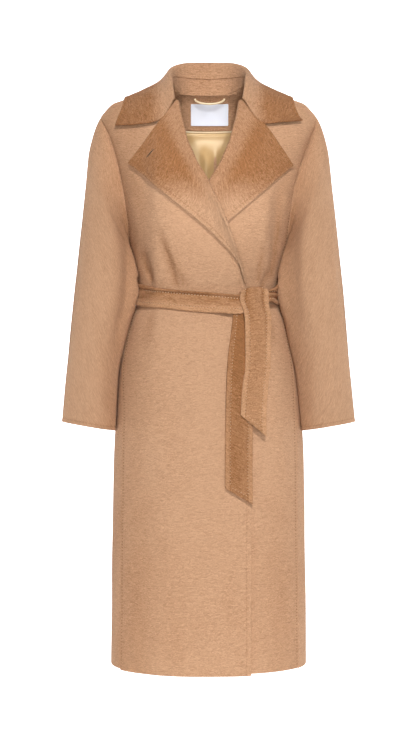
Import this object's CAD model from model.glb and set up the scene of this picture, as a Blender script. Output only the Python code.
"""The looks of the wool wrap coat: cloth, turned edges, folds, stitches, lining and light.

Metres, +Z up, the front faces -Y, wearer's right is -X. Each cloth piece stands for one node of
the frame and is laid on the same torso surface, sleeve rings and collar sections, only finer.
The stitches and the buttonhole's slit lie on those pieces and stand for no node.
"""

import math

import bpy
import numpy as np
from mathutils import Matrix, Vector, noise
from mathutils.bvhtree import BVHTree


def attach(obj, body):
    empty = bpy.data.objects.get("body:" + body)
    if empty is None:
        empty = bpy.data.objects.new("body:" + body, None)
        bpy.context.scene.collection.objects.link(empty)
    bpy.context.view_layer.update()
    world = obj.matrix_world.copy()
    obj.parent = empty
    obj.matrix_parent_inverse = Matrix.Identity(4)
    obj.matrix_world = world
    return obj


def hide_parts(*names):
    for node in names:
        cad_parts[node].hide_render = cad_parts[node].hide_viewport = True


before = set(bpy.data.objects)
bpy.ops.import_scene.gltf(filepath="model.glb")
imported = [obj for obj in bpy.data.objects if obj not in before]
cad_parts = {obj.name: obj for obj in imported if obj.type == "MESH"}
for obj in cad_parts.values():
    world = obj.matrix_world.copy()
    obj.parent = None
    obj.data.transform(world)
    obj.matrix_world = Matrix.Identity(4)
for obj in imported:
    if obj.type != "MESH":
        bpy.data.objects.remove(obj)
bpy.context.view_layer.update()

HEM_Z = -1.155
UNDERARM_Z = -0.300
SHOULDER_RISE = -0.030  # nominal height of the shoulder line, before the slope is laid on
WOOL = 0.0025  # one layer of the coating
SATIN = 0.0010
SEAM_GAP = 0.0003
LEAST = 1e-9  # keeps a length from being divided by zero
LAY = 0.0014  # room between a layer and the one it lies on
LAPEL_THICK = 0.0034
LAPEL_LAY = 0.0020
COLLAR_THICK = 0.0040
FRONT_ROUNDING = 0.24  # how far below the shoulder line the front reaches its full depth
BACK_ROUNDING = 0.14
FRONT_EDGE_X = 0.082  # the wrap's edge in the skirt, past the centre line
RIGHT_HEM_DROP = 0.0025
UNDER_HEM_RISE = 0.0010
LINING_HEM_Z = -1.105
LINING_EASE = 0.0014  # room between the lining and the back
FACING_SHARE = 0.756  # where the neck facing ends, as a share of the rise above the underarm
PIPING_SHARE = 0.012  # height of the piping, in the same shares
SHARE_GAP = 0.0015  # the seam's gap, in the same shares
FACING_THICK = 0.0018
BELT_THICK = 0.0042
BELT_LAY = 0.0016  # room between the belt and what it lies on
BELT_BULGE = 0.0052  # how far the band stands out over the tails where it is tied
TIE_RADIUS = 0.0052  # of the tie's turn over the band, to the middle of the strip
FACING_LAY = 0.0007
TIE_TURNS = (-90, -50, -12, 25, 60, 90)  # degrees at which the turn is placed
FRONT_TAIL_ROWS = 11
TAILS_APART = 0.0009
LOOP_RADIUS = 0.0021
LOOP_HALF = 0.032
LOOP_END_Z = 0.0050
LOOP_LOW_Z = -0.0020
LOOP_DISTANCE = -0.0076
LOOP_SAG = 0.0050
LABEL_WIDTH = 0.081
LABEL_HEIGHT = 0.044
LABEL_EASE = 0.0024  # room between the flat label and the curved facing
LABEL_CENTRE = (0.002, -0.027)
LABEL_THICK = 0.0006
LABEL_WAVE = 0.0005
LABEL_ROWS, LABEL_COLUMNS = 15, 27
LOOP_STATIONS = 41
SLIT_STATIONS = 15

# Colours of the cloth, linear: where the nap catches the light, where it turns away, where it lies.
SHEEN = 0.07
WOOL_LIGHT = (0.604, 0.356, 0.214)
WOOL_DARK = (0.490, 0.279, 0.159)
WOOL_DEEP = (0.308, 0.131, 0.049)
BELT_LIGHT = (0.630, 0.356, 0.198)
BELT_DARK = (0.520, 0.280, 0.145)
LINING_DARK = (0.46, 0.285, 0.120)
LINING_LIGHT = (0.58, 0.38, 0.18)

WORLD = 0.24
FLOOR_Z = -1.60
FLOOR_FRONT = -0.8
BACKDROP_Y = 7.0
STAGE_HALF = 30.0
FLOOR_GLOW = 0.95
# Lights: name, place, aimed at, size, watts.
LIGHTS = (
    ("front", (0.4, -5.0, -0.2), (0.0, 0.0, -0.4), (1.0, 1.0), 62.0),
    ("low", (-0.5, -5.2, -1.4), (0.0, 0.0, -0.5), (1.8, 1.8), 46.0),
    ("top", (0.6, -3.6, 2.4), (0.0, 0.0, -0.45), (0.4, 0.4), 150.0),
)
# Name, place, aimed at, angle in degrees, watts.
NECK_LIGHT = ("neck", (0.0, -5.0, -1.1), (0.0, 0.08, -0.090), 2.7, 1080.0)
CAMERA_PLACE = (-0.0014, -3.6, -0.563)
SENSOR = 36.0
FOCAL_PIXELS = 1770.8  # at the photograph's height
HALF_HEIGHT_PIXELS = 370.0

# Each sheet: its extent (across, down), how it is held, what it lies on, and its whole area,
# which is the volume of its solid over its thickness.
# Finer folds of both sleeves, in the columns of RIGHT_SLEEVE_FOLDS.
MORE_SLEEVE_FOLDS = [
    (95, 10, 0.30, 0.62, -0.0022),
    (20, 9, 0.42, 0.70, -0.0018),
    (0, 58, 0.10, 1.04, -0.0050),
    (142, 6, 0.10, 0.62, -0.0034),
    (262, 11, 0.35, 0.75, -0.0026),
]

# What the finer cloth adds.
ROLL_INSET = 0.0045
# How far the sleeves' inner line lies inside the body's, above and below.
SLEEVE_OVER = (0.0110, 0.0055)
GORGE_LAP = 0.0035
SEAM_REACH = 0.0010  # how far a front's sewn edge goes on into the side seam, which leaves no slit
GORGE_THIN = 0.0012  # how much the collar's end is pressed flat where it is sewn to the lapel
COLLAR_SEAM = 0.88  # where the collar starts, as a share of the stand's height
COLLAR_RISE = 0.0035
COLLAR_LIFT = 0.0006  # room between the collar and what it falls on
COLLAR_STEPS = 12  # points between two of a section's own, before it is resampled
COLLAR_FALL = 14  # the first row that hangs freely
COLLAR_PRESS = 0.85  # share of the room at the shoulders that pressing takes away
END_DROP = 0.0030  # of the collar's end, onto the lapel
LAYER_INSET = 0.02  # radians that the layers inside the back end short of its edges
PIPING_PROUD = 0.0010
LAPEL_ROWS = 64
LAPEL_STEPS = 40
LAPEL_BACK = 0.0006  # room between a front and its lapel's turned edge
ROLL_HALF = 0.0014  # half the cloth's thickness in the roll
ROLL_TURNS = (-90, -60, -30, 0, 30, 60)
TOP_RAISE = 0.0050
TOP_INSET = 0.0105
LAPEL_SPRING = 0.0013
LAPEL_BELLY = 0.0042
SLEEVE_COUNT = 76
SLEEVE_EASE = 0.0003  # between the sleeve's head and the armhole's edge
SLEEVE_SEAM = 14  # degrees round, where the sleeve's own seam shows
BAND_COLUMNS = 300
TAIL_DEEP_ROWS = 60
GROOVE_TONE = 0.25  # shade added where stitches lie in the belt
STAND_SEAM_Z = 0.0100
# The two ends of its slit, as (across, height).
BUTTONHOLE = ((-0.1229, -0.1468), (-0.1072, -0.1299))
# Pleats of the lining: distance from the centre, half width and depth.
LINING_FOLDS = (
    (-0.006, 0.007, 0.0050), (0.036, 0.009, 0.0040), (-0.045, 0.011, 0.0030),
    (0.014, 0.006, -0.0035), (0.075, 0.012, 0.0030), (-0.088, 0.012, 0.0030),
)
# Creases of the belt: degrees round, spread, height, half width and depth.
BELT_CREASES = (
    (30, 30, -0.430, 0.0045, -0.0018),
    (-35, 26, -0.414, 0.0035, -0.0012),
    (-70, 20, -0.420, 0.0040, -0.0012),
    (62, 17, -0.4090, 0.0026, -0.0052),
    (62, 12, -0.4155, 0.0030, 0.0022),
    (60, 15, -0.4230, 0.0026, -0.0052),
    (150, 30, -0.398, 0.0050, -0.0010),
    (-140, 30, -0.408, 0.0050, -0.0010),
)
# Folds under the tie: share of the width, half width and depth.
TIE_FOLDS = ((0.22, 0.07, -0.0026), (0.50, 0.09, 0.0024), (0.80, 0.07, -0.0024))
CUFF_TONE = {0.982: 0.06, 0.9855: 0.18, 0.989: 0.06}  # shade by the place along the sleeve
# Rows of the belt across its width, and those that carry stitches.
BAND_SHARES = (
    0.0, 0.035, 0.08, 0.12, 0.155, 0.185, 0.215, 0.26, 0.32, 0.38, 0.44, 0.50, 0.56,
    0.62, 0.68, 0.735, 0.775, 0.80, 0.825, 0.85, 0.88, 0.92, 0.96, 0.985, 1.0,
)
BAND_STITCHED = (0.185, 0.775)
TAIL_SHARES = (
    0.0, 0.045, 0.10, 0.155, 0.185, 0.215, 0.28, 0.36, 0.44, 0.52, 0.60, 0.68,
    0.785, 0.815, 0.845, 0.90, 0.955, 1.0,
)
TAIL_STITCHED = (4, 13)
TAIL_CROSS_STITCHED = 0.026  # the place along the back end of the row across it
# Creases: from, to (deepest), half width and depth.
FRONT_CREASES = [
    (-0.104, -0.270, -0.063, -0.395, 0.0042, -0.0046),
    (-0.139, -0.320, -0.113, -0.388, 0.0040, -0.0052),
    (-0.086, -0.330, -0.046, -0.395, 0.0060, -0.0018),
    (0.140, -0.190, 0.124, -0.375, 0.0046, -0.0036),
    (0.108, -0.300, 0.096, -0.385, 0.0038, -0.0034),
    (0.122, -0.350, 0.104, -0.400, 0.0034, -0.0034),
    (-0.128, -0.520, -0.112, -0.452, 0.0060, -0.0016),
    (0.132, -0.540, 0.118, -0.450, 0.0060, -0.0016),
]
BACK_CREASES = [
    (-0.085, -0.260, -0.052, -0.378, 0.0050, -0.0026),
    (0.070, -0.250, 0.060, -0.378, 0.0050, -0.0024),
    (0.020, -0.300, 0.024, -0.378, 0.0040, -0.0016),
    (-0.125, -0.320, -0.105, -0.380, 0.0045, -0.0022),
    (-0.040, -0.520, -0.030, -0.436, 0.0050, -0.0018),
    (0.085, -0.560, 0.070, -0.436, 0.0050, -0.0018),
]


def eased(start, end, start_slope, end_slope, t):
    """The smooth curve between two values with these slopes."""
    return (
        start * (2 * t**3 - 3 * t**2 + 1)
        + start_slope * (t**3 - 2 * t**2 + t)
        + end * (3 * t**2 - 2 * t**3)
        + end_slope * (t**3 - t**2)
    )


class Table:
    """Rows of numbers under named columns; values between rows follow a smooth curve."""

    def __init__(self, columns, rows):
        self.columns = columns
        self.rows = rows
        self.keys = [row[0] for row in rows]

    def slope(self, index, column):
        low = max(index - 1, 0)
        high = min(index + 1, len(self.rows) - 1)
        run = self.keys[high] - self.keys[low]
        return (self.rows[high][column] - self.rows[low][column]) / run

    def at(self, name, where):
        column = self.columns.index(name)
        if where <= self.keys[0]:
            return self.rows[0][column]
        if where >= self.keys[-1]:
            return self.rows[-1][column]
        index = max(i for i, key in enumerate(self.keys) if key <= where)
        step = self.keys[index + 1] - self.keys[index]
        t = (where - self.keys[index]) / step
        start = self.rows[index][column]
        end = self.rows[index + 1][column]
        start_slope = self.slope(index, column) * step
        end_slope = self.slope(index + 1, column) * step
        return eased(start, end, start_slope, end_slope, t)


# The torso's cross-section at each height: half widths, depths before and behind the shoulder
# line, and how square the section is (2 is an ellipse).
BODY = Table(
    ("height", "right", "left", "front", "back", "square"),
    [
        (-1.155, 0.1980, 0.1980, 0.170, 0.166, 2.25),
        (-0.950, 0.1965, 0.1960, 0.165, 0.161, 2.25),
        (-0.750, 0.1930, 0.1930, 0.158, 0.154, 2.25),
        (-0.660, 0.1895, 0.1885, 0.154, 0.149, 2.25),
        (-0.565, 0.1840, 0.1785, 0.147, 0.141, 2.25),
        (-0.516, 0.1740, 0.1675, 0.141, 0.134, 2.20),
        (-0.460, 0.1590, 0.1555, 0.128, 0.120, 2.20),
        (-0.436, 0.1500, 0.1465, 0.117, 0.109, 2.20),
        (-0.410, 0.1440, 0.1400, 0.112, 0.103, 2.20),
        (-0.384, 0.1465, 0.1430, 0.116, 0.106, 2.20),
        (-0.350, 0.1530, 0.1500, 0.126, 0.114, 2.20),
        (-0.300, 0.1640, 0.1620, 0.138, 0.123, 2.25),
        (-0.250, 0.1760, 0.1755, 0.146, 0.129, 2.30),
        (-0.200, 0.1880, 0.1880, 0.150, 0.131, 2.30),
        (-0.150, 0.2000, 0.2000, 0.147, 0.130, 2.30),
        (-0.100, 0.2110, 0.2110, 0.139, 0.127, 2.30),
        (-0.060, 0.2200, 0.2200, 0.129, 0.122, 2.30),
        (-0.030, 0.2245, 0.2245, 0.118, 0.117, 2.30),
    ],
)

# The shoulder line seen from the front, from the neck's centre out to the sleeve.
RIDGE = Table(
    ("across", "height"),
    [
        (0.0, 0.0400),
        (0.040, 0.0360),
        (0.075, 0.0220),
        (0.100, 0.0120),
        (0.130, 0.0005),
        (0.150, -0.0070),
        (0.178, -0.0165),
        (0.195, -0.0230),
        (0.209, -0.0370),
        (0.219, -0.0490),
        (0.2245, -0.0580),
    ],
)

# The neck seam at the back, lower than the line above it.
NECK_SEAM = Table(
    ("across", "height"),
    [(0.0, 0.0120), (0.040, 0.0135), (0.062, 0.0180), (0.075, 0.0220)],
)

# Where the front panels end at the side: the side seam, then the armhole. The seams are angles
# round the section from the centre front, in degrees; above the underarm the back ends further
# round than the fronts, and the armhole lies between.
SIDES = Table(
    ("height", "right_front", "left_front", "armhole_back"),
    [
        (-1.155, 60.5, 62.0, 76.0),
        (-0.900, 61.0, 62.5, 76.0),
        (-0.660, 63.0, 64.0, 76.0),
        (-0.550, 70.0, 70.0, 76.0),
        (-0.460, 76.0, 76.0, 76.0),
        (-0.385, 76.0, 76.0, 76.0),
        (-0.300, 76.0, 76.0, 76.0),
        (-0.278, 71.5, 72.0, 106.0),
        (-0.250, 68.0, 68.0, 113.0),
        (-0.210, 65.2, 64.5, 116.0),
        (-0.160, 65.0, 66.5, 115.5),
        (-0.110, 67.5, 72.5, 112.0),
        (-0.070, 71.5, 76.0, 106.0),
        (-0.030, 76.5, 76.5, 103.5),
    ],
)

# The lapel's roll line and the wrap's edge under it, on the right front: distance from the centre.
ROLL = Table(
    ("height", "across"),
    [
        (-0.4150, 0.0775),
        (-0.3600, 0.0640),
        (-0.3250, 0.0530),
        (-0.2900, 0.0416),
        (-0.2480, 0.0254),
        (-0.2180, 0.0123),
        (-0.1930, 0.0031),
        (-0.1590, -0.0185),
        (-0.1365, -0.0290),
        (-0.1142, -0.0408),
        (-0.0917, -0.0495),
        (-0.0663, -0.0595),
        (-0.0360, -0.0668),
        (-0.0010, -0.0715),
        (0.0240, -0.0740),
    ],
)

# Each lapel's free edge below its point: height and distance from the centre.
RIGHT_LAPEL = Table(
    ("height", "across"),
    [
        (-0.3900, 0.0665),
        (-0.3654, 0.0612),
        (-0.3365, 0.0465),
        (-0.3130, 0.0254),
        (-0.2727, -0.0170),
        (-0.2307, -0.0660),
        (-0.1537, -0.1575),
    ],
)
LEFT_LAPEL = Table(
    ("height", "across"),
    [
        (-0.3900, -0.0640),
        (-0.3450, -0.0330),
        (-0.3050, 0.0010),
        (-0.2735, 0.0370),
        (-0.2170, 0.1003),
        (-0.1574, 0.1650),
    ],
)
LAPEL_POINTS = {
    # side: where the gorge leaves the roll line, the notch and the point, as (across, height)
    "right": ((-0.0668, -0.0375), (-0.0905, -0.0722), (-0.1575, -0.1537)),
    "left": ((0.0668, -0.0375), (0.1000, -0.0795), (0.1650, -0.1574)),
}

# Soft folds of the body, seen from the front: from, to, half width and depth (+ is a ridge).
FRONT_FOLDS = [
    (-0.101, -0.279, -0.062, -0.398, 0.011, -0.0050),
    (-0.134, -0.325, -0.108, -0.392, 0.010, -0.0055),
    (-0.080, -0.300, -0.045, -0.385, 0.014, 0.0030),
    (0.139, -0.190, 0.128, -0.340, 0.013, -0.0050),
    (0.118, -0.200, 0.102, -0.370, 0.012, 0.0035),
    (0.096, -0.320, 0.088, -0.392, 0.007, -0.0035),
    (-0.110, -0.470, -0.128, -0.800, 0.020, 0.0030),
    (0.120, -0.460, 0.140, -0.820, 0.020, 0.0035),
    (-0.050, -0.450, -0.060, -0.700, 0.018, -0.0020),
]
BACK_FOLDS = [
    (-0.070, -0.200, -0.045, -0.385, 0.016, -0.0055),
    (0.065, -0.190, 0.050, -0.385, 0.016, -0.0050),
    (-0.012, -0.260, -0.006, -0.385, 0.014, 0.0035),
    (0.105, -0.300, 0.085, -0.388, 0.012, -0.0045),
    (-0.112, -0.295, -0.088, -0.388, 0.012, -0.0045),
    (-0.060, -0.435, -0.085, -0.760, 0.020, -0.0050),
    (0.055, -0.435, 0.080, -0.800, 0.020, -0.0050),
    (0.000, -0.435, 0.004, -0.700, 0.018, 0.0035),
]

# The collar, section by section round the neck from the centre back to the gorge. Each section
# runs from the neck seam up the stand, over the fold and down to the collar's free edge.
COLLAR_COLUMNS = ("neck", "stand_top", "fold", "fall_high", "fall_low", "edge")
COLLAR_BACK = [
    ((0, 0.0708, 0.0130), (0, 0.0765, 0.0435), (0, 0.0855, 0.0735),
     (0, 0.0960, 0.0450), (0, 0.1030, 0.0090), (0, 0.1140, -0.0290)),
    ((0.041, 0.0625, 0.0147), (0.0415, 0.0660, 0.0435), (0.0460, 0.0735, 0.0700),
     (0.0590, 0.0820, 0.0430), (0.0680, 0.0890, 0.0090), (0.0800, 0.0960, -0.0280)),
    ((0.0655, 0.0355, 0.0205), (0.0668, 0.0375, 0.0405), (0.0735, 0.0410, 0.0585),
     (0.0910, 0.0470, 0.0370), (0.1130, 0.0530, 0.0110), (0.1360, 0.0590, -0.0175)),
    ((0.0752, 0.0010, 0.0232), (0.0755, 0.0015, 0.0325), (0.0795, 0.0020, 0.0405),
     (0.0970, 0.0030, 0.0245), (0.1300, 0.0040, 0.0080), (0.1670, 0.0050, -0.0080)),
    ((0.0750, -0.0205, 0.0205), (0.0752, -0.0215, 0.0265), (0.0780, -0.0230, 0.0335),
     (0.0970, -0.0240, 0.0150), (0.1310, -0.0230, -0.0020), (0.1710, -0.0200, -0.0160)),
    ((0.0740, -0.0400, 0.0105), (0.0745, -0.0440, 0.0150), (0.0752, -0.0480, 0.0205),
     (0.0970, -0.0490, 0.0010), (0.1330, -0.0470, -0.0170), (0.1750, -0.0400, -0.0360)),
    ((0.0722, -0.0650, -0.0090), (0.0726, -0.0685, -0.0050), (0.0730, -0.0740, 0.0000),
     (0.0915, -0.0770, -0.0210), (0.1290, -0.0720, -0.0400), (0.1820, -0.0520, -0.0560)),
]
GORGE_FOOT = (
    (0.0690, -0.0870, -0.0310), (0.0692, -0.0895, -0.0295), (0.0697, -0.0940, -0.0290),
)
COLLAR_GORGE = {
    # side: the end section, along the gorge to the notch and on to the collar's point
    "right": (
        *GORGE_FOOT,
        (0.0935, -0.1060, -0.0670), (0.1390, -0.0905, -0.0755), (0.1874, -0.0590, -0.0735),
    ),
    "left": (
        *GORGE_FOOT,
        (0.1025, -0.1080, -0.0735), (0.1440, -0.0860, -0.0710), (0.1886, -0.0560, -0.0629),
    ),
}

# The sleeve from the cap to the cuff: its outer and inner lines seen from the front, its centre
# behind the shoulder plane and half its depth. The first key is just past the armhole. It hangs
# a little forward and lies along the side of the body down to the cuff.
SLEEVE = Table(
    (
        "along", "outer_x", "outer_z", "right_inner", "left_inner", "inner_z",
        "centre_y", "half_depth",
    ),
    [
        (0.00, 0.2200, -0.0500, 0.1650, 0.1650, -0.3020, 0.002, 0.080),
        (0.06, 0.2330, -0.0750, 0.1668, 0.1650, -0.3110, 0.000, 0.082),
        (0.13, 0.2415, -0.1120, 0.1634, 0.1604, -0.3220, -0.005, 0.080),
        (0.21, 0.2470, -0.1580, 0.1570, 0.1543, -0.3380, -0.015, 0.076),
        (0.30, 0.2525, -0.2150, 0.1502, 0.1472, -0.3620, -0.024, 0.072),
        (0.41, 0.2595, -0.2850, 0.1474, 0.1436, -0.3980, -0.031, 0.068),
        (0.53, 0.2670, -0.3650, 0.1535, 0.1500, -0.4520, -0.035, 0.064),
        (0.66, 0.2755, -0.4500, 0.1706, 0.1640, -0.5120, -0.036, 0.060),
        (0.80, 0.2840, -0.5400, 0.1828, 0.1784, -0.5800, -0.036, 0.056),
        (0.91, 0.2915, -0.6150, 0.1870, 0.1846, -0.6400, -0.036, 0.052),
        (1.00, 0.2963, -0.6665, 0.1884, 0.1875, -0.6850, -0.036, 0.048),
    ],
)
# Folds along the sleeves: degrees round from the outer line over the front, half width in
# degrees, where they start and end along the sleeve, and depth.
RIGHT_SLEEVE_FOLDS = [
    (138, 13, 0.10, 0.72, -0.0085),
    (165, 14, 0.15, 0.60, 0.0040),
    (60, 22, 0.25, 0.80, 0.0030),
    (192, 14, 0.10, 0.75, -0.0034),
    (225, 16, 0.12, 0.65, -0.0070),
    (300, 20, 0.20, 0.75, 0.0035),
]
LEFT_SLEEVE_FOLDS = [
    (128, 16, 0.08, 0.70, -0.0080),
    (158, 14, 0.12, 0.60, 0.0045),
    (40, 20, 0.06, 0.35, -0.0030),
    (192, 14, 0.10, 0.75, -0.0034),
    (232, 16, 0.10, 0.70, -0.0065),
    (285, 22, 0.25, 0.80, 0.0030),
]

# The belt's band round the waist, by degrees from the centre front towards the wearer's left:
# height of its middle, and how much of its width shows.
BELT_BAND = Table(
    ("angle", "middle", "height"),
    [
        (-180, -0.4020, 0.0470),
        (-90, -0.4085, 0.0430),
        (-45, -0.4190, 0.0415),
        (0, -0.4325, 0.0400),
        (22, -0.4375, 0.0385),
        (45, -0.4180, 0.0300),
        (62, -0.4130, 0.0400),
        (90, -0.4095, 0.0480),
        (180, -0.4020, 0.0470),
    ],
)
# The tails: height, distance of the middle from the centre line and width.
FRONT_TAIL = Table(
    ("height", "across", "width"),
    [
        (-0.694, 0.0830, 0.0480),
        (-0.650, 0.0832, 0.0480),
        (-0.583, 0.0876, 0.0470),
        (-0.563, 0.0907, 0.0460),
        (-0.479, 0.0888, 0.0465),
        (-0.459, 0.0874, 0.0475),
        (-0.430, 0.0800, 0.0500),
        (-0.400, 0.0790, 0.0450),
    ],
)
BACK_TAIL = Table(
    ("height", "across", "width"),
    [
        (-0.825, 0.0570, 0.0520),
        (-0.740, 0.0572, 0.0525),
        (-0.620, 0.0585, 0.0520),
        (-0.540, 0.0610, 0.0500),
        (-0.480, 0.0650, 0.0430),
        (-0.440, 0.0670, 0.0400),
    ],
)
# Heights of the inner and the outer corner of each cut end, and of the top.
FRONT_TAIL_END = (-0.651, -0.694)
FRONT_TAIL_TOP = (-0.4120, -0.4010)
BACK_TAIL_END = (-0.793, -0.825)
BACK_TAIL_TOP = (-0.447, -0.443)

PIPING_LOW = FACING_SHARE - PIPING_SHARE
SHARES_ABOVE = (
    0.03, 0.09, 0.20, 0.35, 0.50, 0.63, PIPING_LOW, FACING_SHARE, 0.86, 0.93, 0.975, 1.0,
)


def mix(start, end, t):
    return start + (end - start) * t


def ramp(value, low, high):
    """0 below low, 1 above high, and a smooth rise between."""
    t = min(max((value - low) / (high - low), 0.0), 1.0)
    return t * t * (3 - 2 * t)


def nominal_of_share(share):
    return mix(UNDERARM_Z, SHOULDER_RISE, share)


def share_of_nominal(nominal):
    return max(0.0, (nominal - UNDERARM_Z) / (SHOULDER_RISE - UNDERARM_Z))


def rounding(drop, reach):
    """Share of the full depth at a distance below the shoulder line: a quarter of an ellipse."""
    rest = 1 - min(drop / reach, 1.0)
    return math.sqrt(max(1 - rest * rest, 0.0))


def half_width(nominal, across):
    return BODY.at("left" if across > 0 else "right", nominal)


def nominal_at(across, height):
    if height <= UNDERARM_Z:
        return height
    ridge = RIDGE.at("height", abs(across))
    share = (height - UNDERARM_Z) / (ridge - UNDERARM_Z)
    return nominal_of_share(min(share, 1.0))


def depth_at(across, height, front):
    """Distance of the torso surface from the shoulder plane."""
    nominal = nominal_at(across, height)
    square = BODY.at("square", nominal)
    reach = FRONT_ROUNDING if front else BACK_ROUNDING
    drop = max(RIDGE.at("height", abs(across)) - height, 0.0)
    inside = 1 - min(abs(across) / half_width(nominal, across), 1.0) ** square
    full = BODY.at("front" if front else "back", nominal)
    return full * rounding(drop, reach) * max(inside, 0.0) ** (1 / square)


def fold_depth(across, height, front):
    total = 0.0
    for x0, z0, x1, z1, width, depth in FRONT_FOLDS if front else BACK_FOLDS:
        along = ((across - x0) * (x1 - x0) + (height - z0) * (z1 - z0)) / (
            (x1 - x0) ** 2 + (z1 - z0) ** 2
        )
        t = min(max(along, 0.0), 1.0)
        away = math.hypot(across - mix(x0, x1, t), height - mix(z0, z1, t))
        fade = 0.35 + 0.65 * math.sin(math.pi * t)
        total += depth * fade * math.exp(-((away / width) ** 2))
    return total


def surface_point(angle, nominal, top_share=1.0):
    """A point of the torso: angle in radians from the centre front towards the wearer's left."""
    share = share_of_nominal(nominal) * top_share
    if nominal > UNDERARM_Z:
        nominal = nominal_of_share(share)
    square = BODY.at("square", nominal)
    sine = math.sin(angle)
    cosine = math.cos(angle)
    power = 2 / square
    side = math.copysign(abs(sine) ** power, sine)
    across = half_width(nominal, side) * side
    ridge = RIDGE.at("height", abs(across))
    height = nominal
    if nominal > UNDERARM_Z:
        height = mix(UNDERARM_Z, ridge, share)
    front = cosine > 0
    reach = FRONT_ROUNDING if front else BACK_ROUNDING
    full = BODY.at("front" if front else "back", nominal)
    depth = full * rounding(ridge - height, reach) * abs(cosine) ** power
    return Vector((across, -depth if front else depth, height))


def surface_normal(angle, nominal, top_share=1.0):
    turn = 0.004
    rise = 0.0015
    high = min(nominal + rise, SHOULDER_RISE - 1e-5)
    across = surface_point(angle + turn, nominal, top_share) - surface_point(
        angle - turn, nominal, top_share
    )
    up = surface_point(angle, high, top_share) - surface_point(
        angle, high - 2 * rise, top_share
    )
    return across.cross(up).normalized()


def offset_point(angle, nominal, distance, top_share=1.0, seam_plane=False):
    """A torso point moved out by a distance; on the shoulder seam it stays in the seam's plane."""
    point = surface_point(angle, nominal, top_share)
    normal = surface_normal(angle, min(nominal, SHOULDER_RISE - 1e-4), top_share)
    if seam_plane:
        normal.y = 0.0
        normal.normalize()
    fold = fold_depth(point.x, point.z, math.cos(angle) > 0)
    fold *= ramp(abs(math.cos(angle)), 0.1, 0.5)
    return point + normal * (distance + fold)


def laid_point(across, height, distance, front=True):
    """A point over the place (across, height) of the front or the back, at a distance from it."""
    step = 0.002
    here = depth_at(across, height, front)
    slope_x = (
        depth_at(across + step, height, front) - depth_at(across - step, height, front)
    ) / (2 * step)
    slope_z = (
        depth_at(across, height + step, front) - depth_at(across, height - step, front)
    ) / (2 * step)
    facing = -1 if front else 1
    normal = Vector((-slope_x, facing, -slope_z)).normalized()
    fold = fold_depth(across, height, front)
    return Vector((across, facing * here, height)) + normal * (distance + fold)


def angle_of(across, nominal):
    """The angle round the section at which the front surface passes a distance from the centre."""
    square = BODY.at("square", nominal)
    share = min(abs(across) / half_width(nominal, across), 1.0)
    return math.copysign(math.asin(share ** (square / 2)), across)


def side_angle(column, nominal):
    return math.radians(SIDES.at(column, nominal))


def back_edges(nominal):
    """The back's two edges in one row, on the wearer's left and on the right."""
    if nominal > UNDERARM_Z + 1e-6:
        armhole = side_angle("armhole_back", nominal)
        return armhole, armhole
    return side_angle("left_front", nominal), side_angle("right_front", nominal)


def wrap_lift(across, height):
    """How far the right front stands out to pass over the left front and its lapel."""
    reach = ramp(across, -0.130, -0.092)
    under_lapel = ramp(height, -0.455, -0.405)
    above_crossing = 1 - ramp(height, -0.165, -0.080)
    layers = WOOL + LAY + (LAPEL_THICK + 3 * LAY) * under_lapel
    return reach * layers * above_crossing


def roll_x(height):
    """The right front's inner edge: the roll line, and the wrap's edge below the belt."""
    if height < -0.415:
        return mix(FRONT_EDGE_X, ROLL.at("across", -0.415), ramp(height, -0.50, -0.415))
    return ROLL.at("across", height)


def inner_angle(nominal, side):
    """The angle of a front panel's inner edge in one row; side is -1 on the wearer's right."""
    across = -side * 0.05
    for _ in range(12):
        ridge = RIDGE.at("height", abs(across))
        height = nominal
        if nominal > UNDERARM_Z:
            height = mix(UNDERARM_Z, ridge, share_of_nominal(nominal))
        across = -side * roll_x(height)
    return angle_of(across, nominal)


def back_top_share(across):
    """How far up the back goes at a distance from the centre: less at the neck."""
    if abs(across) >= 0.075:
        return 1.0
    seam = NECK_SEAM.at("height", abs(across))
    return (seam - UNDERARM_Z) / (RIDGE.at("height", abs(across)) - UNDERARM_Z)


def curve_through(points, where):
    """A smooth curve through a list of points, one unit of the parameter apart."""
    last = len(points) - 1
    index = min(int(where), last - 1)
    t = where - index
    start = points[index]
    end = points[index + 1]
    start_slope = (end - points[max(index - 1, 0)]) / 2
    end_slope = (points[min(index + 2, last)] - start) / 2
    return eased(start, end, start_slope, end_slope, t)


def collar_sections():
    """All sections from the wearer's right gorge round the back to the left one."""
    sections = []
    for side, end in ((-1, "right"), (1, "left")):
        rows = COLLAR_BACK + [COLLAR_GORGE[end]]
        half = [[Vector((side * x, y, z)) for x, y, z in row] for row in rows]
        sections = half[::-1] if side < 0 else sections + half[1:]
    return sections


def ground_of(pieces):
    """The surface of the pieces that another one is laid on."""
    points, faces = [], []
    for piece in pieces:
        base = len(points)
        points += [vertex.co.copy() for vertex in piece.data.vertices]
        faces += [[base + i for i in face.vertices] for face in piece.data.polygons]
    return BVHTree.FromPolygons(points, faces)


def cleared(point, outward, ground, distance):
    """The point, moved outward where it is nearer to the ground than the distance."""
    hit = ground.ray_cast(point + outward * 0.03, -outward)[0]
    if hit is None:
        return point
    short = distance - (point - hit).dot(outward)
    return point + outward * max(short, 0.0)


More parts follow.
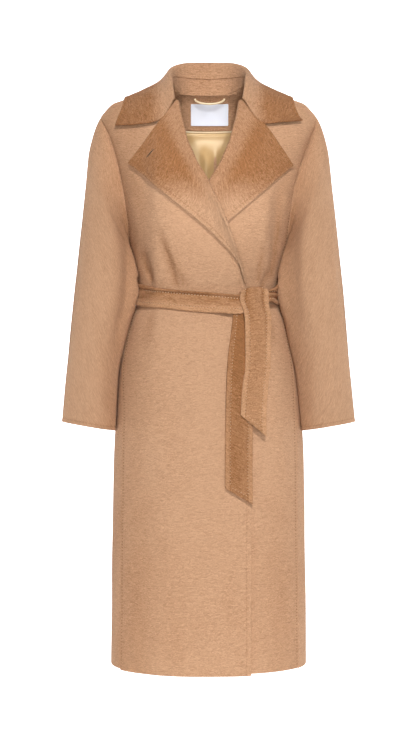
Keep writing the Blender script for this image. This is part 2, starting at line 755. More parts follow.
def armhole_rings(side):
    """The armhole's edge, outer and inner: down its front edge, up its back edge."""
    column = "right_front" if side < 0 else "left_front"
    places = [(side_angle(column, SHOULDER_RISE), SHOULDER_RISE)]
    shares = SHARES_ABOVE[:-1]
    for share in shares[::-1]:
        nominal = nominal_of_share(share)
        gap = SEAM_GAP / half_width(nominal, side)
        places.append((side_angle(column, nominal) - gap, nominal))
    places.append((side_angle(column, UNDERARM_Z), UNDERARM_Z))
    for share in shares:
        nominal = nominal_of_share(share)
        gap = SEAM_GAP / half_width(nominal, side)
        places.append((side_angle("armhole_back", nominal) + gap, nominal))
    rings = [
        [offset_point(side * angle, nominal, -depth) for angle, nominal in places]
        for depth in (0.0, WOOL)
    ]
    for ring in rings:
        ring[0].y = 0.0
    return rings


def sleeve_frame(side, along):
    """The middle of the sleeve's ring and its half axes, outwards and forwards."""
    inner_x = SLEEVE.at("right_inner" if side < 0 else "left_inner", along)
    outer = Vector((SLEEVE.at("outer_x", along), 0.0, SLEEVE.at("outer_z", along)))
    inner = Vector((inner_x, 0.0, SLEEVE.at("inner_z", along)))
    middle = (outer + inner) / 2
    middle.y = SLEEVE.at("centre_y", along)
    forward = Vector((0.0, -SLEEVE.at("half_depth", along), 0.0))
    return middle, (outer - inner) / 2, forward


def sleeve_ring(side, along, turns, folds):
    middle, out, forward = sleeve_frame(side, along)
    ring = []
    for turn in turns:
        degrees = math.degrees(turn) % 360
        swell = 0.0
        for angle, width, start, end, depth in folds:
            reach = math.sin(math.pi * min(max((along - start) / (end - start), 0.0), 1.0))
            swell += depth * reach * math.exp(-(((degrees - angle) / width) ** 2))
        arm = out * math.cos(turn) + forward * math.sin(turn)
        point = middle + arm * (1 + swell / arm.length)
        point.x *= side
        ring.append(point)
    return ring


def belt_lift(across, height):
    """How far the surface under the belt stands out, over the wrap and behind the tie."""
    over_wrap = wrap_lift(across, height) * (1 - ramp(across, 0.112, 0.140))
    return over_wrap + BELT_BULGE * ramp(across, 0.0, 0.035) * (1 - ramp(across, 0.112, 0.140))


def front_tail_path(top, end):
    """Heights and distances of the strip's middle, up behind the band, over it and down.

    Each station also holds the direction of the strip's outer side, as (height, distance).
    """
    behind = BELT_LAY + BELT_THICK / 2
    path = [(top - 0.016, behind, 0.0, -1.0), (top - 0.006, behind, 0.0, -1.0)]
    for degrees in TIE_TURNS:
        turn = math.radians(degrees)
        path.append(
            (
                top + TIE_RADIUS * math.cos(turn),
                behind + TIE_RADIUS * (1 + math.sin(turn)),
                math.cos(turn),
                math.sin(turn),
            )
        )
    before = behind + 2 * TIE_RADIUS
    for i in range(1, FRONT_TAIL_ROWS + 1):
        height = mix(top, end, i / FRONT_TAIL_ROWS)
        settle = ramp(-height, 0.465, 0.520)
        over_tail = BELT_LAY + BELT_THICK * 1.5 + TAILS_APART
        path.append((height, mix(before, over_tail, settle), 0.0, 1.0))
    return path


# Finer cloth


def run_of(points):
    """The distance run at each point of a line."""
    steps = np.linalg.norm(np.diff(np.array(points, float), axis=0), axis=1)
    return np.concatenate([[0.0], np.cumsum(steps)])


def resampled(points, places, values=None):
    """Points at given distances along a line of points, or other values carried along it."""
    carried = np.array(points if values is None else values, float)
    run = run_of(points)
    return np.stack([np.interp(places, run, carried[:, k]) for k in range(3)], axis=1)


def length_of(points):
    line = np.array(points, float)
    return float(np.linalg.norm(np.diff(line, axis=0), axis=1).sum())


def edged(length, count, start=(0.0, 0.002), end=(0.002, 0.0)):
    """Places along a length: close rows at both edges, even steps between."""
    scale = min(1.0, length / 0.045)
    first = [value * scale for value in start]
    last = [length - value * scale for value in end]
    inner = np.linspace(first[-1], last[0], count + 2)[1:-1]
    return np.array(first + list(inner) + last)


STITCHED = (0.0130, 0.0106, 0.0092, 0.0078, 0.0050, 0.0020, 0.0)  # rows at a stitched edge
STITCHED_AT = 2 - len(STITCHED)  # which of them carries the stitches, counted from the end
STITCH_SINK = 0.0008
EDGE_TONE = np.array((0.0, 0.06, 0.18, 0.06, 0.0, -0.05, -0.05))  # shade added over those rows


def normals_of(grid, closed=False):
    up = np.gradient(grid, axis=0)
    if closed:
        along = np.roll(grid, -1, axis=1) - np.roll(grid, 1, axis=1)
    else:
        along = np.gradient(grid, axis=1)
    normal = np.cross(along, up)
    size = np.linalg.norm(normal, axis=2, keepdims=True)
    return normal / np.maximum(size, 1e-12)


def put(name, data):
    """A new object of the data, in the scene."""
    made = bpy.data.objects.new(name, data)
    bpy.context.scene.collection.objects.link(made)
    return made


def mesh_of(name, points, faces, looks, chart=None, smooth=True):
    """A mesh with its material and, where a chart is given, its map in metres."""
    data = bpy.data.meshes.new(name)
    data.from_pydata(points, [], faces)
    if chart is not None:
        corners = np.empty(len(data.loops), np.int32)
        data.loops.foreach_get("vertex_index", corners)
        layer = data.uv_layers.new(name="cloth")
        layer.data.foreach_set("uv", chart[corners].astype(np.float32).ravel())
    if smooth:
        data.shade_smooth()
    data.materials.append(looks)
    return data


def grid_quads(rows, columns, spans):
    """The four corners of each cell of a grid of points; as many spans as columns close it."""
    for i in range(rows - 1):
        for j in range(spans):
            a, b = i * columns + j, i * columns + (j + 1) % columns
            yield a, b, b + columns, a + columns


def cloth(name, outer, inner, looks, closed=False, smooth=1, shade=None):
    """A closed body between two grids, with a map in metres and a shade value per point."""
    rows, columns = outer.shape[:2]
    count = rows * columns
    points = np.concatenate([outer.reshape(-1, 3), inner.reshape(-1, 3)])
    spans = columns if closed else columns - 1
    faces = []
    for a, b, c, d in grid_quads(rows, columns, spans):
        faces.append((a, b, c, d))
        faces.append((count + a, count + d, count + c, count + b))
    for j in range(spans):
        k = (j + 1) % columns
        faces.append((k, j, count + j, count + k))
        low, high = (rows - 1) * columns + j, (rows - 1) * columns + k
        faces.append((low, high, count + high, count + low))
    if not closed:
        for i in range(rows - 1):
            a, b = i * columns, (i + 1) * columns
            faces.append((a, b, count + b, count + a))
            c, d = a + columns - 1, b + columns - 1
            faces.append((d, c, count + c, count + d))
    first = points[list(faces[0])]
    facing = np.cross(first[1] - first[0], first[3] - first[0])
    if facing @ (outer[0, 0] - inner[0, 0]) < 0:
        faces = [face[::-1] for face in faces]
    across = np.zeros((rows, columns))
    step = np.linalg.norm(np.diff(outer, axis=1), axis=2)
    across[:, 1:] = np.cumsum(step, axis=1)
    across -= across[:, columns // 2 : columns // 2 + 1]
    down = np.zeros((rows, columns))
    down[1:] = np.cumsum(np.linalg.norm(np.diff(outer, axis=0), axis=2), axis=0)
    chart = np.stack([across, down], axis=2).reshape(-1, 2)
    data = mesh_of(name, points.tolist(), faces, looks, np.concatenate([chart, chart]))
    values = np.zeros(count) if shade is None else np.asarray(shade, float).reshape(-1)
    attribute = data.attributes.new("shade", "FLOAT", "POINT")
    attribute.data.foreach_set("value", np.concatenate([values, values]).astype(np.float32))
    made = put(name, data)
    if smooth:
        modifier = made.modifiers.new("smooth", "SUBSURF")
        modifier.levels = smooth
        modifier.render_levels = smooth
    return made


# One stitch: place along it, width and height of each of its rings, as shares.
STITCH_RINGS = ((-1.0, 0.35, -0.6), (-0.5, 1.0, 0.8), (0.5, 1.0, 0.8), (1.0, 0.35, -0.6))


def stitches(name, rows, looks, pitch=0.0060, length=0.0036, width=0.0018, rise=0.0009):
    """Short stitches lying on rows of points; each row comes with the surface's normals."""
    points, faces = [], []
    for line, normals in rows:
        total = length_of(line)
        if total < 2 * pitch:
            continue
        places = np.arange(pitch, total - length, pitch)
        centres = resampled(line, places)
        ahead = resampled(line, places + length / 2)
        out = resampled(line, places, normals)
        for centre, front, normal in zip(centres, ahead, out):
            normal = normal / max(np.linalg.norm(normal), LEAST)
            along = front - centre
            side = np.cross(along, normal)
            side *= width / 2 / max(np.linalg.norm(side), LEAST)
            base = len(points)
            lift = normal * rise
            for reach, wide, high in STITCH_RINGS:
                middle = centre + along * reach
                points.append(middle + side * wide - lift * 0.6)
                points.append(middle + lift * high)
                points.append(middle - side * wide - lift * 0.6)
            for k in range(3):
                a = base + 3 * k
                faces.append((a, a + 1, a + 4, a + 3))
                faces.append((a + 1, a + 2, a + 5, a + 4))
                faces.append((a + 2, a, a + 3, a + 5))
            faces.append((base, base + 2, base + 1))
            faces.append((base + 9, base + 10, base + 11))
    made = put(name, mesh_of(name, [tuple(p) for p in points], faces, looks))
    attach(made, "root")


def stands_for(piece, node):
    """Makes the piece stand for its node, as a sheet of the cut in FLAT."""
    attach(piece, "root")
    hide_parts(node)


def as_grid(rows):
    return np.array([[tuple(p) for p in row] for row in rows])


def crease_depth(point):
    """Sharper creases of the fronts and the back, over the broad folds."""
    total = 0.0
    for x0, z0, x1, z1, width, depth in FRONT_CREASES if point.y < 0 else BACK_CREASES:
        run = ((x1 - x0) ** 2 + (z1 - z0) ** 2) or 1.0
        t = ((point.x - x0) * (x1 - x0) + (point.z - z0) * (z1 - z0)) / run
        inside = min(max(t, 0.0), 1.0)
        bow = 0.08 * math.sqrt(run) * math.sin(math.pi * inside)
        aside = point.x - mix(x0, x1, inside) - bow * 0.3
        away = math.hypot(aside, point.z - mix(z0, z1, inside))
        fade = ramp(t, 0.0, 0.7) * (1 - ramp(t, 1.0, 1.08))
        total += depth * fade * math.exp(-((away / (width * (1.6 - 0.6 * inside))) ** 2))
    return total


def uneven(point, scale=1.0):
    """Slow unevenness of the hanging cloth, in metres."""
    slow, quick = (
        noise.noise(Vector((point.x * wide, point.y * wide, point.z * tall)) + Vector(start))
        for wide, tall, start in ((9, 5, (3.1, 0.7, 1.9)), (30, 14, (0.4, 5.2, 2.6)))
    )
    return (0.0016 * slow + 0.0005 * quick) * scale


# Materials


def set_inputs(node, inputs):
    for key, value in inputs.items():
        node.inputs[key].default_value = value


def node_at(tree, kind, inputs=None, **values):
    made = tree.nodes.new(kind)
    for key, value in values.items():
        setattr(made, key, value)
    set_inputs(made, inputs or {})
    return made


def principled(name, inputs):
    """A new material, its node tree and its shader."""
    made = bpy.data.materials.new(name)
    made.use_nodes = True
    shader = made.node_tree.nodes["Principled BSDF"]
    set_inputs(shader, inputs)
    return made, made.node_tree, shader


def chart_at(tree, scale, turn):
    """The cloth's own map in metres, stretched and turned."""
    chart = node_at(tree, "ShaderNodeUVMap", uv_map="cloth")
    inputs = {"Scale": (*scale, 1.0), "Rotation": (0.0, 0.0, turn)}
    mapping = node_at(tree, "ShaderNodeMapping", inputs)
    tree.links.new(chart.outputs["UV"], mapping.inputs["Vector"])
    return mapping.outputs["Vector"]


def texture_at(tree, vector, **inputs):
    inputs = {key.title(): value for key, value in inputs.items()}
    field = node_at(tree, "ShaderNodeTexNoise", inputs, noise_dimensions="2D")
    tree.links.new(vector, field.inputs["Vector"])
    return field.outputs["Fac"]


def fed(tree, socket, value):
    """Sets an input to a number or a colour, or links it to what another node gives."""
    if isinstance(value, float):
        socket.default_value = value
    elif isinstance(value, tuple):
        socket.default_value = (*value, 1.0)
    else:
        tree.links.new(value, socket)


def mixed(tree, factor, first, second):
    join = node_at(tree, "ShaderNodeMix", data_type="RGBA")
    for key, value in (("Factor", factor), ("A", first), ("B", second)):
        fed(tree, join.inputs[key], value)
    return join.outputs["Result"]


def bumped(tree, shader, height, strength, distance):
    bump = node_at(tree, "ShaderNodeBump", {"Strength": strength, "Distance": distance})
    tree.links.new(height, bump.inputs["Height"])
    tree.links.new(bump.outputs["Normal"], shader.inputs["Normal"])


def wool(name, light, dark, deep, nap=1.0):
    """Brushed wool: fine ruffled nap, soft patches where it lies the other way, pale sheen."""
    made, tree, shader = principled(name, {
        "Roughness": 0.95,
        "Specular IOR Level": 0.18,
        "Sheen Weight": SHEEN,
        "Sheen Roughness": 0.5,
        "Sheen Tint": (1.0, 0.86, 0.72, 1.0),
    })

    def ranged(value, low, high, to_low=0.0, to_high=1.0):
        inputs = {"From Min": low, "From Max": high, "To Min": to_low, "To Max": to_high}
        shift = node_at(tree, "ShaderNodeMapRange", inputs)
        tree.links.new(value, shift.inputs["Value"])
        return shift.outputs["Result"]

    def sums(kind, first, second):
        join = node_at(tree, "ShaderNodeMath", operation=kind)
        for socket, value in zip(join.inputs, (first, second)):
            fed(tree, socket, value)
        return join.outputs[0]

    ripple = texture_at(
        tree, chart_at(tree, (0.30, 1.0), 0.10),
        scale=430.0, detail=1.5, roughness=0.5, distortion=1.4,
    )
    fibre = texture_at(
        tree, chart_at(tree, (0.5, 1.0), -0.3),
        scale=900.0, detail=2.0, roughness=0.6, distortion=0.0,
    )
    patches = texture_at(
        tree, chart_at(tree, (1.0, 0.6), 0.0),
        scale=9.0, detail=2.0, roughness=0.5, distortion=0.4,
    )
    shade = node_at(tree, "ShaderNodeAttribute", attribute_name="shade")
    grain = sums("ADD", ranged(ripple, 0.3, 0.7), ranged(fibre, 0.25, 0.75, -0.25, 0.25))
    lit = ranged(grain, 0.0, 1.0, 0.5 - 0.46 * nap, 0.5 + 0.46 * nap)
    base = mixed(tree, lit, dark, light)
    deeps = [tuple(share * value for value in deep) for share in (0.76, 1.22)]
    lying = mixed(tree, lit, *deeps)
    worn = sums("ADD", shade.outputs["Fac"], ranged(patches, 0.35, 0.75, -0.06, 0.10))
    worn = sums("ADD", worn, ranged(grain, 0.0, 1.0, 0.12 * nap, -0.12 * nap))
    colour = mixed(tree, ranged(worn, 0.0, 1.0), base, lying)
    tree.links.new(colour, shader.inputs["Base Color"])
    height = sums("ADD", ripple, sums("MULTIPLY", fibre, 0.45))
    bumped(tree, shader, height, 0.85, 0.0018 * nap)
    return made


def satin(name, colour, shine, roughness=0.30):
    """Smooth satin with a fine twill and long soft gleams."""
    made, tree, shader = principled(name, {
        "Roughness": roughness,
        "Specular IOR Level": 0.45,
        "Specular Tint": (1.0, 0.90, 0.70, 1.0),
        "Anisotropic": 0.5,
    })
    weave = texture_at(tree, chart_at(tree, (1.0, 0.3), 0.9), scale=2600.0, detail=1.0)
    tree.links.new(mixed(tree, weave, colour, shine), shader.inputs["Base Color"])
    bumped(tree, shader, weave, 0.12, 0.0002)
    return made


# Pieces


def fine_rows(hem_z):
    """Heights of the rows of a body panel, close at the hem and at the shoulder seam."""
    below = [hem_z, hem_z + 0.0025]
    below += list(np.linspace(hem_z + 0.012, -0.520, 44))
    below += list(np.linspace(-0.508, UNDERARM_Z, 26))
    above = list(np.linspace(0.03, 0.96, 30)) + [0.985, 0.9925, 1.0]
    return below + [nominal_of_share(share) for share in above]


def fine_front(name, side, looks):
    """A front panel, from the side seam and the armhole to its stitched inner edge."""
    right = side < 0
    hem = HEM_Z - RIGHT_HEM_DROP if right else HEM_Z + UNDER_HEM_RISE
    rows = fine_rows(hem)
    outer, inner, shade = [], [], []
    for nominal in rows:
        reach = SEAM_REACH if nominal < UNDERARM_Z - 0.01 else 0.0
        gap = (SEAM_GAP - reach) / half_width(nominal, side)
        edge = side_angle("right_front" if right else "left_front", nominal) - gap
        edge *= side
        middle = inner_angle(nominal, side)
        middle += side * roll_inset(surface_point(middle, nominal).z) / 0.12
        on_shoulder = nominal == rows[-1]
        angles = np.linspace(edge, middle, 60)
        dense = [surface_point(a, nominal) for a in angles]
        places = edged(length_of(dense), 30, (0.0, 0.002, 0.0045, 0.007), STITCHED)
        row_out, row_in = [], []
        for j, angle in enumerate(np.interp(places, run_of(dense), angles)):
            base = surface_point(angle, nominal)
            lift = wrap_lift(base.x, base.z) if right else 0.0
            lift += uneven(base) + crease_depth(base)
            if j == len(places) + STITCHED_AT:
                lift -= STITCH_SINK
            row_out.append(offset_point(angle, nominal, lift, 1.0, on_shoulder))
            row_in.append(offset_point(angle, nominal, lift - WOOL, 1.0, on_shoulder))
        if on_shoulder:
            for point in row_out + row_in:
                point.y = -SEAM_GAP / 2
        outer.append(row_out)
        inner.append(row_in)
        shade.append([body_shade(p) for p in row_out])
    outer, inner = as_grid(outer), as_grid(inner)
    shade = np.array(shade)
    shade[:, -len(STITCHED):] += EDGE_TONE * 0.5
    return cloth(name, outer, inner, looks, shade=shade), outer, inner


def body_shade(point):
    """Where the nap lies darker on the body: by the armholes, under the belt, down the sides."""
    skirt = ramp(-point.z, 0.44, 0.60)
    beside = ramp(abs(point.x), 0.095, 0.150)
    armhole = (0.34 if point.x < 0 else 0.20) * beside * (1 - ramp(-point.z, 0.36, 0.44))
    creased = min(max(-crease_depth(point) / 0.0030, 0.0), 1.0)
    low = 0.12 * ramp(-point.z, 0.72, 0.95) + 0.10 * ramp(-point.x, 0.06, 0.15) * skirt
    under_belt = 0.06 * ramp(-point.z, 0.25, 0.38) * (1 - skirt)
    return armhole + low + 0.16 * beside * skirt + under_belt + 0.45 * creased


def roll_inset(height):
    """How far the front's edge lies inside the lapel's roll."""
    at_v = ramp(height, -0.25, -0.19) * (1 - 0.5 * ramp(height, -0.18, -0.12))
    return ROLL_INSET * ramp(height, -0.430, -0.395) * (1 + 0.9 * at_v)


def lapel_shade(share, height):
    """The nap on a lapel: pale where it turns over and low down, dark at the upper middle."""
    across = mix(0.45, 1.0, ramp(share, 0.10, 0.42))
    return 0.13 + 0.87 * ramp(height, -0.255, -0.165) * across


def fine_lapel(name, side, edge_table, looks):
    """A turned lapel: the roll round the front's edge, then the lapel down to its free edge."""
    right = side < 0
    gorge, notch, point = LAPEL_POINTS["right" if right else "left"]
    bottom = edge_table.keys[0]
    outer, shade = [], []
    levels = [i / (LAPEL_ROWS - 1) for i in range(LAPEL_ROWS)]
    levels[1], levels[-2] = 0.004, 0.996
    for t in levels:
        start_z = mix(gorge[1], bottom, t) + GORGE_LAP * (1 - ramp(t, 0.0, 0.03))
        start_z += TOP_RAISE * (1 - ramp(t, 0.0, 0.12))
        inset = TOP_INSET * (1 - ramp(t, 0.0, 0.30))
        start_x = side * (roll_inset(start_z) - roll_x(start_z) - inset)
        end_z = mix(point[1], bottom, t**0.92)
        end_x = edge_table.at("across", end_z)
        line = []
        lift0 = wrap_lift(start_x, start_z) if right else 0.0
        top = lift0 + LAPEL_LAY + LAPEL_THICK / 2
        low = lift0 - WOOL - LAPEL_BACK - LAPEL_THICK / 2
        radius = (top - low) / 2
        for degrees in ROLL_TURNS:
            turn = math.radians(degrees)
            across = start_x - side * radius * math.cos(turn)
            line.append(laid_point(across, start_z, (top + low) / 2 + radius * math.sin(turn)))
        flat = []
        for k in range(LAPEL_STEPS + 1):
            u = k / LAPEL_STEPS
            across = mix(start_x, end_x, u)
            height = mix(start_z, end_z, u)
            bend = notch[0] - mix(gorge[0], point[0], 0.30)
            across += bend * math.sin(math.pi * u) * (1 - t) ** 3
            lift = wrap_lift(across, height) if right else 0.0
            spring = LAPEL_SPRING * ramp(u, 0.25, 1.0) * (1 - t**3)
            belly = LAPEL_BELLY * math.sin(math.pi * min(u * 1.25, 1.0)) ** 2
            belly *= (1 - t) ** 0.6
            distance = lift + LAPEL_LAY + LAPEL_THICK / 2 + spring + belly
            place = laid_point(across, height, distance)
            away = (place - laid_point(across, height, 0.0)).normalized()
            flat.append(place + away * uneven(place, 0.8))
        total = length_of(flat)
        places = edged(total, 24, (0.0,), STITCHED)
        row = [tuple(p) for p in line] + [tuple(p) for p in resampled(flat, places)]
        outer.append(row)
        across_shade = [lapel_shade(0.0, start_z)] * len(line)
        for k, place in enumerate(places):
            share = place / max(total, 1e-6)
            across_shade.append(lapel_shade(share, mix(start_z, end_z, share)))
        shade.append(across_shade)
    centre = np.array(outer)
    normals = normals_of(centre)
    if normals[:, 10:].mean(axis=(0, 1))[1] > 0:
        normals = -normals
    half = np.full(centre.shape[:2], LAPEL_THICK / 2)
    half[:, : len(ROLL_TURNS)] = ROLL_HALF
    sink = np.zeros(centre.shape[:2])
    sink[:, STITCHED_AT] = STITCH_SINK
    front = centre + normals * (half - sink)[..., None]
    back = centre - normals * half[..., None]
    shade = np.array(shade)
    shade[: LAPEL_ROWS * 3 // 4, -len(STITCHED):] += EDGE_TONE
    return cloth(name, front, back, looks, shade=shade), front, normals


def fine_back_layer(rows, distances, columns, inset=0.0, extra=None):
    """The outer and inner grids of the back or of a layer inside it."""
    grids = ([], [])
    for nominal in rows:
        gap = SEAM_GAP / half_width(nominal, 1) + inset
        left_edge, right_edge = back_edges(nominal)
        start = left_edge + gap
        end = 2 * math.pi - right_edge - gap
        margin = 0.002 / 0.18
        angles = [start, start + margin]
        angles += list(np.linspace(start + 0.05, end - 0.05, columns))
        angles += [end - margin, end]
        on_shoulder = nominal >= SHOULDER_RISE - 1e-9
        made = ([], [])
        for angle in angles:
            base = surface_point(angle, nominal)
            share = back_top_share(base.x)
            share = mix(1.0, share, ramp(nominal, UNDERARM_Z, SHOULDER_RISE))
            flat = on_shoulder and share > 0.999
            more = uneven(base) + crease_depth(base) + (extra(base) if extra else 0.0)
            for row, distance in zip(made, distances):
                place = offset_point(angle, nominal, distance + more, share, flat)
                if flat:
                    place.y = SEAM_GAP / 2
                row.append(place)
        for grid, row in zip(grids, made):
            grid.append(row)
    return as_grid(grids[0]), as_grid(grids[1])


def lining_folds(point):
    """Pleats of the lining below the neck facing, deepest at the centre back."""
    total = 0.0
    for across, width, depth in LINING_FOLDS:
        total -= depth * math.exp(-(((point.x - across) / width) ** 2))
    return total * ramp(-point.z, 0.075, 0.120) * (1 - 0.6 * ramp(-point.z, 0.30, 0.70))


def collar_normals(centre):
    """The collar's normals, away from the neck where it falls at the centre back."""
    normals = normals_of(centre)
    middle = centre.shape[1] // 2
    outward = normals[COLLAR_FALL:, middle].mean(axis=0)[1] >= 0
    return normals if outward else -normals


def fine_collar(name, ground, looks):
    """The collar from the stand's top over the fold to its stitched edge."""
    sections = collar_sections()
    start = COLLAR_COLUMNS.index("stand_top")
    stations = len(sections) - 1
    spots = [0.0, 0.012, *np.linspace(0.10, stations - 0.10, 100)]
    spots += [stations - 0.012, stations]
    lines = []
    for spot in spots:
        section = [curve_through([s[start + k] for s in sections], spot) for k in range(5)]
        foot = curve_through([s[start - 1] for s in sections], spot)
        section[0] = foot.lerp(section[0], COLLAR_SEAM)
        peak = max(p.z for p in section)
        for k, p in enumerate(section):
            rise = COLLAR_RISE * (1 - ramp(abs(p.x), 0.050, 0.090))
            section[k] = p + Vector((0, 0, rise * ramp(p.z, peak - 0.02, peak)))
        dense = [
            tuple(curve_through(section, k / COLLAR_STEPS))
            for k in range(COLLAR_STEPS * 4 + 1)
        ]
        total = length_of(dense)
        lines.append(resampled(dense, edged(total, 30, (0.0, 0.0015), STITCHED)))
    centre = np.array(lines).transpose(1, 0, 2)
    normals = collar_normals(centre)
    half = COLLAR_THICK / 2
    for i in range(10, centre.shape[0]):
        for j in range(centre.shape[1]):
            point, away = Vector(centre[i, j]), Vector(normals[i, j])
            centre[i, j] = cleared(point, away, ground, half + COLLAR_LIFT)
    for j in range(centre.shape[1]):
        near = math.exp(-((centre[-1, j, 1] - 0.004) / 0.026) ** 2)
        for i in range(16, centre.shape[0]):
            point, away = Vector(centre[i, j]), Vector(normals[i, j])
            hit = ground.ray_cast(point + away * 0.02, -away)[0]
            if hit is not None:
                spare = (point - hit).dot(away) - half - 0.0008
                if 0 < spare < 0.02:
                    share = ramp(i / (centre.shape[0] - 1), 0.55, 0.95) * near
                    centre[i, j] = point - away * spare * COLLAR_PRESS * share
    notch = abs(LAPEL_POINTS["right"][1][0])
    last = centre.shape[1] - 1
    sewn = np.zeros(centre.shape[:2])
    for i in range(12, centre.shape[0]):
        for j in range(last + 1):
            near = 1 - ramp(min(j, last - j), 1, 8)
            sewn[i, j] = near * (1 - ramp(abs(centre[i, j, 0]), notch - 0.012, notch + 0.002))
    centre[..., 2] -= END_DROP * sewn
    for _ in range(3):
        centre[11:-1, 1:-1] = (
            centre[11:-1, 1:-1] * 2 + centre[10:-2, 1:-1] + centre[12:, 1:-1]
            + centre[11:-1, :-2] + centre[11:-1, 2:]
        ) / 6
    normals = collar_normals(centre)
    sink = np.zeros(centre.shape[:2])
    sink[STITCHED_AT] = STITCH_SINK
    front = centre + normals * (half - sink - GORGE_THIN * sewn)[..., None]
    back = centre - normals * half
    share = np.linspace(0, 1, centre.shape[0])
    tone = 0.30 + 0.70 * np.array([ramp(s, 0.22, 0.50) for s in share])
    tone[-len(STITCHED):] += EDGE_TONE
    shade = np.repeat(tone[:, None], centre.shape[1], axis=1)
    return cloth(name, front, back, looks, shade=shade), front, normals


def fine_stand(name, looks):
    """The stand, from a straight seam on the facing up to the collar."""
    sections = collar_sections()
    middle = (len(sections) - 1) // 2
    inside = -WOOL - FACING_LAY - FACING_THICK - COLLAR_THICK / 2 - 0.0003
    lines = []
    for spot in np.linspace(middle - 4, middle + 4, 70):
        foot, top = [curve_through([s[k] for s in sections], spot) for k in (0, 1)]
        seam = NECK_SEAM.at("height", min(abs(foot.x), 0.075))
        rises = max(int((seam - STAND_SEAM_Z) / 0.003), 1)
        way = [
            laid_point(foot.x * 0.97, STAND_SEAM_Z + 0.003 * k, inside, False)
            for k in range(rises)
        ]
        way += [foot.lerp(top, 0.5), foot.lerp(top, COLLAR_SEAM - 0.015)]
        dense = [tuple(curve_through(way, k / 8)) for k in range(8 * (len(way) - 1) + 1)]
        places = edged(length_of(dense), 8, (0.0, 0.0015), (0.0015, 0.0))
        lines.append(resampled(dense, places))
    centre = np.array(lines).transpose(1, 0, 2)
    normals = normals_of(centre)
    half = COLLAR_THICK / 2
    shade = np.full(centre.shape[:2], 0.34)
    return cloth(name, centre + normals * half, centre - normals * half, looks, shade=shade)


def lean_on_body(row, side, turns, share):
    """Brings the sleeve's inner front against the body, a little inside the body's side line."""
    degrees = [math.degrees(turn) % 360 for turn in turns]
    inmost = min(range(len(row)), key=lambda k: abs(degrees[k] - 165))
    column = "right" if side < 0 else "left"
    height = row[inmost].z
    over = mix(SLEEVE_OVER[0], SLEEVE_OVER[1], ramp(-height, 0.33, 0.45))
    push = abs(row[inmost].x) - (BODY.at(column, height) - over)
    push = min(max(push, 0.0), 0.012) * share
    belt = 0.0075 * ramp(-height, 0.372, 0.386) * (1 - ramp(-height, 0.434, 0.444))
    for point, turn in zip(row, degrees):
        weight = math.exp(-(((turn - 162) / 22) ** 2))
        if weight > 0.02:
            square = BODY.at("square", point.z)
            full = BODY.at("front" if point.y < 0 else "back", point.z)
            deep = min(abs(point.y) / full, 1.0)
            wall = BODY.at(column, point.z) * (1 - deep**square) ** (1 / square)
            wall = wall + 0.0014 + belt
            reached = max(abs(point.x) - push * weight, min(wall, abs(point.x)))
            point.x = side * reached


def fine_sleeve(name, side, folds, looks):
    """A sleeve from the armhole's edge to the stitched cuff."""
    edge, edge_inside = armhole_rings(side)
    turns_edge = []
    middle, out, forward = sleeve_frame(side, 0.0)
    for point in edge:
        arm = Vector((side * point.x, point.y, point.z)) - middle
        ahead = arm.dot(forward) / forward.length_squared
        turns_edge.append(math.atan2(ahead, arm.dot(out) / out.length_squared) % (2 * math.pi))
    turns_edge[0] = 0.0
    count = SLEEVE_COUNT
    closed_edge = [tuple(p) for p in edge] + [tuple(edge[0])]
    closed_inside = [tuple(p) for p in edge_inside] + [tuple(edge_inside[0])]
    total = length_of(closed_edge)
    places = np.linspace(0, total, count + 1)[:-1]
    first = [Vector(p) for p in resampled(closed_edge, places)]
    inside_run = length_of(closed_inside) / total
    first_inside = [Vector(p) for p in resampled(closed_inside, places * inside_run)]
    starts = np.interp(places, run_of(closed_edge), turns_edge + [2 * math.pi])
    centre = sum(first, Vector()) / count
    for k, (point, inside) in enumerate(zip(first, first_inside)):
        normal = (point - inside).normalized()
        away = centre - point
        away -= normal * away.dot(normal)
        step = away.normalized() * SLEEVE_EASE
        first[k] = point + step
        first_inside[k] = inside + step
    alongs = [0.012, 0.03, 0.05, *np.linspace(0.075, 0.975, 62), *CUFF_TONE, 0.996, 1.0]
    grid = [first]
    shade = [[0.12] * count]
    for along in alongs:
        even = ramp(along, 0.0, 0.35)
        turns = [mix(start, 2 * math.pi * k / count, even) for k, start in enumerate(starts)]
        ring = sleeve_ring(side, along, turns, folds)
        settle = min(along / 0.05, 1.0) * 0.55 + 0.45 * ramp(along, 0.04, 0.16)
        row = [point.lerp(past, settle) for point, past in zip(first, ring)]
        head = math.exp(-((along / 0.035) ** 2))
        lean_on_body(row, side, turns, ramp(along, 0.02, 0.11))
        heart = sum(row, Vector()) / count
        tones = []
        for k, point in enumerate(row):
            way = (point - heart).normalized()
            bump = uneven(point, 1.3) * ramp(along, 0.02, 0.10)
            round_at = math.degrees(turns[k])
            seam = abs((round_at - SLEEVE_SEAM + 180) % 360 - 180)
            bump += 0.0008 * math.exp(-((seam / 2.6) ** 2)) * ramp(along, 0.0, 0.04)
            hemmed = CUFF_TONE.get(along, 0.0)
            if hemmed > 0.1:
                bump -= STITCH_SINK
            row[k] = point + way * (bump + 0.0012 * head * ramp(point.z, -0.30, -0.12))
            under = math.exp(-(((round_at - 142) / 26) ** 2))
            tone = 0.06 + 0.34 * under * (1 - 0.5 * along)
            tones.append(tone + 0.28 * (1 - ramp(along, 0.0, 0.30)) + hemmed)
        grid.append(row)
        shade.append(tones)
    outer = as_grid(grid)
    normals = normals_of(outer, True)
    heart = outer.mean(axis=1, keepdims=True)
    if ((outer - heart) * normals).sum() < 0:
        normals = -normals
    inner = outer - normals * WOOL
    inner[0] = np.array([tuple(p) for p in first_inside])
    return cloth(name, outer, inner, looks, True, shade=shade), outer, normals


